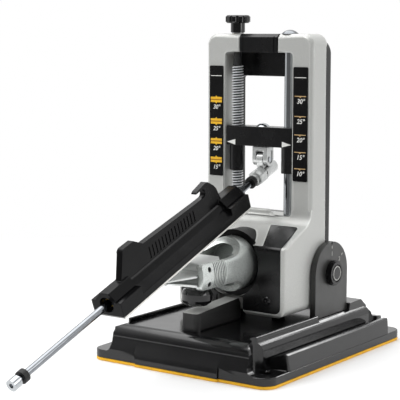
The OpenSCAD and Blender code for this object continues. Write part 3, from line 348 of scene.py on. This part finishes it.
NODE_MATERIALS = {
    "clamp_head": satin_metal("satin_nickel", "d4d9d6", 0.6, (0.26, 0.30), 0.02),
    "upper_jaw": jaw_silver,
    "lower_jaw": jaw_silver,
    # The rest's top gets a pale painted sheen.
    "clamp_rest": black_finish("rest_satin", "101010", (0.40, 0.50), 0.5, 1600, "c4c5c2"),
    "lead_screw": thread_steel(),
    # The jaw pins are black as painted shade, so that their holes read dark.
    "jaw_pins": MATERIALS["knob_black"],
    "hub_ring": black_finish("ring_black", "0a0a0b", (0.26, 0.32), 0.12),
    "guide_arm": bright_metal("arm_chrome", "8c8f93", (0.10, 0.16), STREAKS_ACROSS_X, 0.02),
    "guide_rod_screw": bright_metal("screw_chrome", "74777a", (0.16, 0.22), (900, 900, 900), 0.02),
}
WHITE = print_ink("print_white", "ecece8")
GREY = print_ink("print_grey", "b4b4b0")
YELLOW = print_ink("print_yellow", "f2bd2c")
AMBER = print_ink("print_amber", "a87012")
PALE = print_ink("print_pale", "c8a878")

for name, node in nodes.items():
    node.data.materials.clear()
    node.data.materials.append(NODE_MATERIALS.get(name, MATERIALS[slot_of[name]]))

# Mesh helpers

PRINT_T = 0.12
PRINT_SINK = 0.03
DIGIT_T = 0.1
DIGIT_LIFT = 0.03
DIGIT_BOLD = 0.06
DIGIT_SHARE = 0.7
CREASE = math.radians(35)
TURN_SEGMENTS = 40


class Plane:
    """A place to build on: an origin in m and the right, up and outward directions."""

    def __init__(self, origin, right, up):
        self.origin = Vector(origin)
        self.right = Vector(right).normalized()
        self.up = Vector(up).normalized()
        self.out = self.right.cross(self.up)

    def at(self, x, y, z=0.0):
        return self.origin + (self.right * x + self.up * y + self.out * z) * MM

    def matrix(self):
        m = Matrix((self.right, self.up, self.out)).transposed().to_4x4()
        m.translation = self.origin
        return m


def place(name, mesh, material, body):
    """An object of that mesh, which rides on a body and takes the given material."""
    mesh.materials.clear()
    mesh.materials.append(material)
    obj = bpy.data.objects.new(name, mesh)
    bpy.context.scene.collection.objects.link(obj)
    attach(obj, body)
    return obj


def build(name, verts, faces, material, body):
    """An object made of vertices and faces."""
    mesh = bpy.data.meshes.new(name)
    mesh.from_pydata(verts, [], faces)
    mesh.validate()
    mesh.update()
    return place(name, mesh, material, body)


def smooth(mesh, crease):
    """Smooth faces, with the edges that turn more than the crease angle left crisp."""
    mesh.polygons.foreach_set("use_smooth", [True] * len(mesh.polygons))
    mesh.set_sharp_from_angle(angle=crease)


def prints(name, plane, outlines, material, body):
    """Flat raised outlines on the plane, as one piece."""
    verts = []
    faces = []
    for outline in outlines:
        n = len(outline)
        first = len(verts)
        verts += [plane.at(x, y, -PRINT_SINK) for x, y in outline]
        verts += [plane.at(x, y, PRINT_T) for x, y in outline]
        faces.append([first + i for i in reversed(range(n))])
        faces.append([first + n + i for i in range(n)])
        for i in range(n):
            j = (i + 1) % n
            faces.append([first + i, first + j, first + n + j, first + n + i])
    return build(name, verts, faces, material, body)


def numeral(name, plane, centre, text, height, material, body, slant=0.0):
    """Raised digits of that height, centred on a point of the plane."""
    curve = bpy.data.curves.new(name + "_curve", "FONT")
    curve.body = text
    curve.size = height * MM / DIGIT_SHARE
    curve.align_x = "CENTER"
    curve.align_y = "CENTER"
    curve.extrude = DIGIT_T * MM
    curve.offset = DIGIT_BOLD * MM
    curve.shear = slant
    curve.resolution_u = 3
    temp = bpy.data.objects.new(name + "_temp", curve)
    bpy.context.scene.collection.objects.link(temp)
    bpy.context.view_layer.update()
    mesh = bpy.data.meshes.new_from_object(temp.evaluated_get(bpy.context.evaluated_depsgraph_get()))
    bpy.data.objects.remove(temp)
    bpy.data.curves.remove(curve)
    mesh.name = name
    mesh.transform(plane.matrix() @ Matrix.Translation(Vector((*centre, DIGIT_LIFT)) * MM))
    return place(name, mesh, material, body)


def rect(x0, y0, x1, y1):
    return [(x0, y0), (x1, y0), (x1, y1), (x0, y1)]


def turned(plane, centre, profile, segments, first):
    """Vertices, and faces numbered from first, of a profile of (radius, height) points that is turned
    about the plane's outward direction at a centre."""
    verts = []
    faces = []
    width = len(profile)
    for i in range(segments):
        a = 2 * math.pi * i / segments
        for r, h in profile:
            verts.append(plane.at(centre[0] + r * math.cos(a), centre[1] + r * math.sin(a), h))
        here = first + i * width
        there = first + (i + 1) % segments * width
        for k in range(width - 1):
            faces.append([here + k, there + k, there + k + 1, here + k + 1])
    return verts, faces


def lathe(name, plane, centres, profile, material, body):
    """One piece that repeats a turned profile at each centre."""
    verts = []
    faces = []
    for centre in centres:
        new_verts, new_faces = turned(plane, centre, profile, TURN_SEGMENTS, len(verts))
        verts += new_verts
        faces += new_faces
    obj = build(name, verts, faces, material, body)
    smooth(obj.data, CREASE)
    return obj


# Printed scales on the tower's legs

LEFT_DATUM = 102.4
LEFT_REACH = 150.0
LEFT_ANGLES = (30, 25, 20, 15)
RIGHT_DATUM = 116.2
RIGHT_REACH = 134.0
RIGHT_ANGLES = (30, 25, 20, 15, 10)
POINTED_ANGLE = 20
HEADER_DROP = 7.7
HEADER_HALF = 5.0
HEADER_HALF_T = 0.25
BAR_HALF = 5.2
BAR_INNER = 0.45
BAR_OUTER = 2.05
PEAK_HALF = 0.9
PEAK_TOP = 3.1
LINE_HALF = 4.9
LINE_HALF_T = 0.3
LINE_PEAK = 1.2


def label_plane(node):
    """Front of a label, with x from its middle and y the height over the base's underside."""
    low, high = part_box(node)
    return Plane(((low.x + high.x) / 2, low.y, 0), (1, 0, 0), (0, 0, 1))


def mark_heights(datum, reach, angles):
    """Height by angle where a rod of that reach from the datum lies at the angle."""
    return {angle: datum + reach * math.tan(math.radians(angle)) for angle in angles}


def bar_mark(z):
    """Two bars with a peak over and under them."""
    return [
        rect(-BAR_HALF, z + BAR_INNER, BAR_HALF, z + BAR_OUTER),
        rect(-BAR_HALF, z - BAR_OUTER, BAR_HALF, z - BAR_INNER),
        [(-PEAK_HALF, z + BAR_OUTER), (PEAK_HALF, z + BAR_OUTER), (0, z + PEAK_TOP)],
        [(-PEAK_HALF, z - BAR_OUTER), (0, z - PEAK_TOP), (PEAK_HALF, z - BAR_OUTER)],
    ]


def line_mark(z):
    """A line with a peak under it."""
    return [
        rect(-LINE_HALF, z - LINE_HALF_T, LINE_HALF, z + LINE_HALF_T),
        [(-PEAK_HALF, z - LINE_HALF_T), (0, z - LINE_PEAK), (PEAK_HALF, z - LINE_HALF_T)],
    ]


def scale_numbers(side, plane, marks, shift, drop, height, slant):
    """Degree numbers, each drop below its mark and shift to the right."""
    for angle, z in marks.items():
        numeral(
            f"scale_{side}_{angle}", plane, (shift, z - drop), f"{angle}°", height,
            WHITE, "tower", slant,
        )


left_plane = label_plane("label_left")
right_plane = label_plane("label_right")
left_marks = mark_heights(LEFT_DATUM, LEFT_REACH, LEFT_ANGLES)
right_marks = mark_heights(RIGHT_DATUM, RIGHT_REACH, RIGHT_ANGLES)

bars = [outline for z in left_marks.values() for outline in bar_mark(z)]
fills = [rect(-BAR_HALF, z - BAR_INNER, BAR_HALF, z + BAR_INNER) for z in left_marks.values()]
prints("scale_bars_left", left_plane, bars, YELLOW, "tower")
prints("scale_fills_left", left_plane, fills, AMBER, "tower")
scale_numbers("left", left_plane, left_marks, shift=0.2, drop=5.7, height=3.2, slant=0.25)

lines = [outline for z in right_marks.values() for outline in line_mark(z)]
prints("scale_lines_right", right_plane, lines, PALE, "tower")
scale_numbers("right", right_plane, right_marks, shift=0.4, drop=3.9, height=3.4, slant=0.2)

header_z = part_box("label_left")[1].z / MM - HEADER_DROP
header = rect(-HEADER_HALF, header_z - HEADER_HALF_T, HEADER_HALF, header_z + HEADER_HALF_T)
prints("scale_header_left", left_plane, [header], WHITE, "tower")
prints("scale_header_right", right_plane, [header], WHITE, "tower")

# Pointers on the carriage, whose front falls back towards its ends

FRONT_FALL = 0.7
POINTER_TIP = 0.6
POINTER_TAIL = 8.5
POINTER_HALF = 2.1

carriage_low, carriage_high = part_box("carriage")
carriage_half = carriage_high.x / MM
pointer_z = left_marks[POINTED_ANGLE]
for side, s in (("left", -1), ("right", 1)):
    front = Plane((0, carriage_low.y, 0), (carriage_half, s * FRONT_FALL, 0), (0, 0, 1))
    tip = s * (carriage_half - POINTER_TIP)
    tail = s * (carriage_half - POINTER_TAIL)
    half = s * POINTER_HALF
    triangle = [(tip, pointer_z), (tail, pointer_z + half), (tail, pointer_z - half)]
    prints("pointer_" + side, front, [triangle], WHITE, "carriage")

# Marks on the right cheek, at both ends of the tilt

TICK_R0 = 18.5
TICK_R1 = 20.5
TICK_W = 0.9
CHEEK_DIGIT_R = 14.4
CHEEK_DIGIT_H = 3.2


def round_tilt_axis(x):
    """Plane that faces right at x, in m, with its origin on the tilt axis."""
    return Plane((x, tilt_axis.y, tilt_axis.z), (0, 1, 0), (0, 0, 1))


def polar(radius, degrees):
    """Point at an angle from straight up towards the back."""
    a = math.radians(degrees)
    return radius * math.sin(a), radius * math.cos(a)


def tick(degrees):
    a = math.radians(degrees)
    across = Vector((math.cos(a), -math.sin(a))) * TICK_W / 2
    inner = Vector(polar(TICK_R0, degrees))
    outer = Vector(polar(TICK_R1, degrees))
    return [tuple(p) for p in (outer - across, outer + across, inner + across, inner - across)]


cheek_plane = round_tilt_axis(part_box("hinge_cheek_right")[1].x)
prints("cheek_ticks", cheek_plane, [tick(degrees) for degrees in tilt_range], GREY, "base")
for text, degrees in zip("12", tilt_range):
    centre = polar(CHEEK_DIGIT_R, degrees)
    numeral("cheek_" + text, cheek_plane, centre, text, CHEEK_DIGIT_H, GREY, "base")

# Turned ring on the tilt knob's face, in grey ink as a painted highlight

RING = [(4.7, -0.05), (4.85, 0.3), (5.1, 0.4), (5.35, 0.3), (5.5, -0.05), (4.7, -0.05)]

knob_plane = round_tilt_axis(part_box("tilt_knob")[1].x)
lathe("knob_ring", knob_plane, [(0, 0)], RING, GREY, nodes["tilt_knob"]["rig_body"])

# Socket heads of the panel screws

HEAD_R = 3.6
HEAD_H = 1.6
SHANK_R = 1.9
SHANK_L = 8.0
AXIS_R = 0.01
HEAD_PROFILE = [
    (AXIS_R, -SHANK_L), (SHANK_R, -SHANK_L), (SHANK_R, -0.1),
    (HEAD_R, -0.1), (HEAD_R, 0.1), (3.3, 0.75), (2.6, 1.35), (2.1, HEAD_H),
    (1.7, 1.4), (1.6, 0.2), (AXIS_R, 0.1),
]

screws_low, screws_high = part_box("panel_screws")
head_plane = Plane((0, screws_low.y + HEAD_H * MM, 0), (1, 0, 0), (0, 0, 1))
head_x = screws_high.x / MM - HEAD_R
head_z = (screws_low.z + screws_high.z) / 2 / MM
heads = lathe(
    "panel_screw_heads", head_plane, [(-head_x, head_z), (head_x, head_z)], HEAD_PROFILE,
    MATERIALS["knob_black"], nodes["panel_screws"]["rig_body"],
)
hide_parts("panel_screws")

# Threaded lead screw

PITCH = 2.0
JOURNAL_R = 3.0
THREAD_STEPS = 28
THREAD_OVER_BUSH = 0.5
THREAD_UNDER_BUSH = 8.0
CORE_R = ROOT_R + 0.02
CORE_AXIS_R = 0.001
CORE_SEGMENTS = 32
THREAD_PROFILE = [
    (0.0, ROOT_R), (0.18, ROOT_R), (0.34, crest_r), (0.66, crest_r), (0.82, ROOT_R), (1.0, ROOT_R),
]


def thread(plane, z0, z1):
    """Vertices and faces of a helical thread, from its profile of (share of the pitch, radius) points,
    that rises and fades over one turn at its ends."""
    verts = []
    faces = []
    width = len(THREAD_PROFILE)
    count = round((z1 - z0 - PITCH) / PITCH * THREAD_STEPS)
    for i in range(count + 1):
        a = 2 * math.pi * i / THREAD_STEPS
        z = z0 + PITCH * i / THREAD_STEPS
        fade = min(1.0, i / THREAD_STEPS, (count - i) / THREAD_STEPS)
        for share, r in THREAD_PROFILE:
            radius = ROOT_R + (r - ROOT_R) * fade
            verts.append(plane.at(radius * math.cos(a), radius * math.sin(a), z + share * PITCH))
    for i in range(count):
        for k in range(width - 1):
            a = i * width + k
            faces.append([a, a + width, a + width + 1, a + 1])
    return verts, faces


screw_plane = Plane((screw_axis.x, screw_axis.y, 0), (1, 0, 0), (0, 1, 0))
thread_z0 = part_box("screw_bush_lower")[1].z / MM + THREAD_OVER_BUSH
thread_z1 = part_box("screw_bush_upper")[0].z / MM - THREAD_UNDER_BUSH
screw_z0 = screw_low.z / MM
screw_z1 = screw_high.z / MM
core = [
    (CORE_AXIS_R, screw_z0), (JOURNAL_R, screw_z0), (JOURNAL_R, thread_z0), (CORE_R, thread_z0),
    (CORE_R, thread_z1), (JOURNAL_R, thread_z1), (JOURNAL_R, screw_z1), (CORE_AXIS_R, screw_z1),
]
thread_verts, thread_faces = thread(screw_plane, thread_z0, thread_z1)
core_verts, core_faces = turned(screw_plane, (0, 0), core, CORE_SEGMENTS, len(thread_verts))
screw = build(
    "lead_screw_threaded", thread_verts + core_verts, thread_faces + core_faces,
    NODE_MATERIALS["lead_screw"], "lead_screw",
)
smooth(screw.data, CREASE)
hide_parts("lead_screw")

# Rounded edges on the solids

WELD = 0.002
FLAT_ANGLE = math.radians(0.3)
ROUND_ANGLE = math.radians(38)
SMOOTH_ANGLE = math.radians(28)
LEAST_LENGTH = 1.5
LEAST_ROOM = 2.2
EDGE_ROUND = {
    "base": 0.8, "base_pad": 0.3, "tower_frame": 1.6, "rear_cover": 0.9, "hinge_cheek_left": 0.6,
    "hinge_cheek_right": 0.6, "clamp_rest": 1.6, "carriage": 0.6, "front_panel_left": 1.2,
    "front_panel_right": 1.2, "top_bridge": 0.4, "yoke": 0.5, "knuckle": 0.3, "upper_jaw": 0.3,
    "lower_jaw": 0.3, "abrasive_plate": 0.15, "handle": 0.45, "clamp_head": 0.6, "hub_ring": 0.4,
}


def wide_enough(edge, width):
    """Whether an edge, and the faces beside it, have room for a round of that width."""
    length = edge.calc_length()
    room = min(face.calc_area() for face in edge.link_faces) / length
    return length > LEAST_LENGTH * width * MM and room > LEAST_ROOM * width * MM


def is_sharp(edge):
    return len(edge.link_faces) == 2 and edge.calc_face_angle() > ROUND_ANGLE


def soften(name, width):
    """A copy of a CAD solid with its sharp edges rounded by that width, which stands for it."""
    node = nodes[name]
    work = bmesh.new()
    work.from_mesh(node.data)
    bmesh.ops.remove_doubles(work, verts=work.verts, dist=WELD * MM)
    bmesh.ops.dissolve_limit(work, angle_limit=FLAT_ANGLE, verts=work.verts, edges=work.edges)
    bmesh.ops.bevel(
        work, geom=[e for e in work.edges if is_sharp(e) and wide_enough(e, width)], offset=width * MM,
        offset_type="OFFSET", segments=3, profile=0.5, affect="EDGES", clamp_overlap=False,
    )
    mesh = bpy.data.meshes.new(name + "_soft")
    work.to_mesh(mesh)
    work.free()
    custom = mesh.attributes.get("custom_normal")
    if custom:
        mesh.attributes.remove(custom)
    smooth(mesh, SMOOTH_ANGLE)
    obj = place(name + "_soft", mesh, node.data.materials[0], node["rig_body"])
    weighted = obj.modifiers.new("flat_faces", "WEIGHTED_NORMAL")
    weighted.keep_sharp = True
    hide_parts(name)
    return obj


softened = {name: soften(name, width) for name, width in EDGE_ROUND.items()}

# Floor, light and camera, in m

FLOOR_R = 1.2
FLOOR_AT = (0, -0.05, -0.0002)
FLOOR_CLEAR = (0.26, 0.62)
DARK_SIDE = 0.18
DARK_AT = 0.35
AMBIENT = 0.5
LENS = 119.97
SENSOR = 36
CAMERA_AT = (0.5534, -0.8349, 0.2428)
forward = Vector((-0.5802, 0.8045, -0.1272)).normalized()
upward = Vector((-0.0744, 0.1032, 0.9919)).normalized()


def backdrop_floor():
    """Pale floor that fades into the white surroundings away from the object."""
    bpy.ops.mesh.primitive_circle_add(vertices=96, radius=FLOOR_R, fill_type="NGON", location=FLOOR_AT)
    floor = bpy.context.object
    floor.name = "floor"
    g = Graph("floor")
    g.fix("Roughness", 0.9)
    g.fix("Base Color", (0.97, 0.97, 0.97, 1))
    g.fix("Specular IOR Level", 0.0)
    away = g.vector_math("LENGTH", g.coords.outputs["Object"])
    fade = g.ramp(away.outputs["Value"], 0.0, 1.0, *FLOOR_CLEAR)
    clear = g.add("BsdfTransparent")
    both = g.add("MixShader")
    g.link(fade, both.inputs[0])
    g.link(g.shader.outputs[0], both.inputs[1])
    g.link(clear.outputs[0], both.inputs[2])
    g.link(both.outputs[0], g.tree.nodes["Material Output"].inputs["Surface"])
    floor.data.materials.append(g.material)


def white_world():
    """White surroundings, darker on the side that the object is seen from, as in a studio; camera rays
    see plain white."""
    world = bpy.data.worlds.new("studio")
    bpy.context.scene.world = world
    world.use_nodes = True
    tree = world.node_tree
    link = tree.links.new
    coords = add_node(tree, "TexCoord")
    facing = add_node(tree, "VectorMath", operation="DOT_PRODUCT")
    facing.inputs[1].default_value = Vector((-forward.x, -forward.y, 0)).normalized()
    link(coords.outputs["Generated"], facing.inputs[0])
    around = add_ramp(
        tree, facing.outputs["Value"], 1.0, DARK_SIDE, 0.0, DARK_AT, interpolation_type="SMOOTHSTEP",
    )
    path = add_node(tree, "LightPath")
    mirrored = add_node(tree, "Math", operation="MAXIMUM")
    link(path.outputs["Is Glossy Ray"], mirrored.inputs[0])
    link(path.outputs["Is Transmission Ray"], mirrored.inputs[1])
    share = add_ramp(tree, mirrored.outputs[0], AMBIENT, 1.0, 0.0, 1.0)
    lit = add_node(tree, "Math", operation="MULTIPLY")
    link(around, lit.inputs[0])
    link(share, lit.inputs[1])
    level = add_node(tree, "Math", operation="MAXIMUM")
    link(lit.outputs[0], level.inputs[0])
    link(path.outputs["Is Camera Ray"], level.inputs[1])
    background = tree.nodes["Background"]
    background.inputs["Color"].default_value = (1, 1, 1, 1)
    link(level.outputs[0], background.inputs["Strength"])


def softbox(name, location, target, size, energy, diffuse=True, glossy=True):
    """Rectangular lamp aimed at a target, which the camera doesn't see."""
    light = bpy.data.lights.new(name, "AREA")
    light.shape = "RECTANGLE"
    light.size, light.size_y = size
    light.energy = energy
    obj = bpy.data.objects.new(name, light)
    obj.location = location
    obj.rotation_euler = (Vector(target) - Vector(location)).to_track_quat("-Z", "Y").to_euler()
    obj.visible_camera = False
    obj.visible_diffuse = diffuse
    obj.visible_glossy = glossy
    bpy.context.scene.collection.objects.link(obj)
    return obj


def base_rim():
    """Narrow strip behind the object that shows only as gloss on the base and its cheeks."""
    lamp = softbox("rim", (0.1, 1.3, 0.85), (0, 0, 0.05), (1.2, 0.15), 4.5, diffuse=False)
    lit = bpy.data.collections.new("rim_lit")
    for name in ("base", "hinge_cheek_left", "hinge_cheek_right"):
        lit.objects.link(softened[name])
    lamp.light_linking.receiver_collection = lit


def photo_camera():
    data = bpy.data.cameras.new("camera")
    data.sensor_width = SENSOR
    data.lens = LENS
    camera = bpy.data.objects.new("camera", data)
    sideways = forward.cross(upward).normalized()
    turn = Matrix((sideways, sideways.cross(forward), -forward)).transposed()
    camera.matrix_world = Matrix.Translation(CAMERA_AT) @ turn.to_4x4()
    bpy.context.scene.collection.objects.link(camera)
    bpy.context.scene.camera = camera


backdrop_floor()
white_world()
softbox("key_top", (-0.3, 0.0, 1.3), (0, 0, 0.08), (1.7, 1.3), 17)
softbox("front_left", (-0.9, -0.9, 0.7), (0, 0, 0.12), (0.7, 0.9), 8.5, glossy=False)
softbox("right", (1.2, 0.1, 0.6), (0, 0, 0.12), (0.6, 0.9), 6.5)
softbox("camera_side", (0.8, -1.2, 0.8), (0, 0, 0.12), (1.0, 0.9), 3, glossy=False)
base_rim()
photo_camera()
bpy.context.scene.view_settings.view_transform = "Standard"
